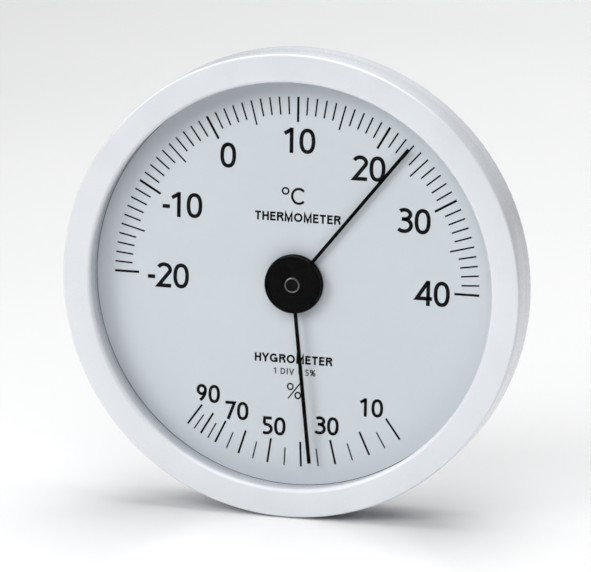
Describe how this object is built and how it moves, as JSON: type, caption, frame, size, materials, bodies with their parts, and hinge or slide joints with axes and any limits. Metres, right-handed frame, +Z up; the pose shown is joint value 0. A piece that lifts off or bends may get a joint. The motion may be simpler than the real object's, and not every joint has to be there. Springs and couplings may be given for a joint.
{
  "type": "dial thermometer and hygrometer",
  "caption": "Round dial instrument with a white rim, two black pointers on one hub, a temperature scale above, a humidity scale below, and a fold-out rear stand.",
  "frame": {"origin": "bottom centre of the box round the instrument as it stands with its leg open", "axes": "+Z up, -Y out of the dial towards the reader, +X to the reader's right; the pointers turn about an axis along +Y"},
  "size_m": [0.13, 0.0442, 0.13],
  "materials": {
    "case_plastic": "satin white moulding",
    "window_clear": "clear polished sheet",
    "dial_paint": "fine matt silver-grey print",
    "pointer_black": "gloss black",
    "brass": "turned",
    "steel": "rolled",
    "blackened_steel": "black oxide, polished",
    "bimetal": "rolled strip",
    "humidity_strip": "coated strip",
    "foot_rubber": "matt"
  },
  "bodies": {
    "frame": {"bezel": "case_plastic", "window": "window_clear", "spacer_ring": "case_plastic", "dial_plate": "dial_paint", "rear_case": "case_plastic", "back_cover": "case_plastic", "cover_screws": "steel", "movement_front_plate": "steel", "movement_rear_plate": "brass", "front_plate_screws": "steel", "rear_plate_screws": "steel", "movement_pillars": "brass", "front_bush": "brass", "rear_bush": "brass", "stand_bracket": "steel", "bracket_rivets": "steel", "stand_pin": "steel"},
    "thermometer_adjuster": {"thermometer_adjuster": "steel", "bimetal_coil": "bimetal"},
    "thermometer_hand": {"thermometer_sleeve": "brass", "thermometer_collet": "brass", "thermometer_pointer": "pointer_black"},
    "hygrometer_adjuster": {"hygrometer_adjuster": "steel", "humidity_coil": "humidity_strip"},
    "hygrometer_hand": {"hygrometer_arbor": "blackened_steel", "hygrometer_collet": "brass", "hygrometer_pointer": "pointer_black", "hub_eyelet": "blackened_steel"},
    "stand": {"stand_leg": "case_plastic", "stand_foot_pads": "foot_rubber"}
  },
  "joints": [
    {"name": "thermometer_adjustment", "type": "hinge", "parent": "frame", "child": "thermometer_adjuster", "pos_m": [0, -0.01429, 0.065], "axis": [0, 1, 0], "range_deg": [-8, 8]},
    {"name": "thermometer_reading", "type": "hinge", "parent": "thermometer_adjuster", "child": "thermometer_hand", "pos_m": [0, -0.01429, 0.065], "axis": [0, 1, 0], "range_deg": [-128.7, 51.3], "stiffness_Nm_per_rad": 0.002},
    {"name": "hygrometer_adjustment", "type": "hinge", "parent": "frame", "child": "hygrometer_adjuster", "pos_m": [0, -0.01429, 0.065], "axis": [0, 1, 0], "range_deg": [-8, 8]},
    {"name": "hygrometer_reading", "type": "hinge", "parent": "hygrometer_adjuster", "child": "hygrometer_hand", "pos_m": [0, -0.01429, 0.065], "axis": [0, 1, 0], "range_deg": [-29.7, 42.05], "stiffness_Nm_per_rad": 0.002},
    {"name": "stand_hinge", "type": "hinge", "parent": "frame", "child": "stand", "pos_m": [0, 0.00831, 0.053], "axis": [1, 0, 0], "range_deg": [-13, 0]}
  ]
}
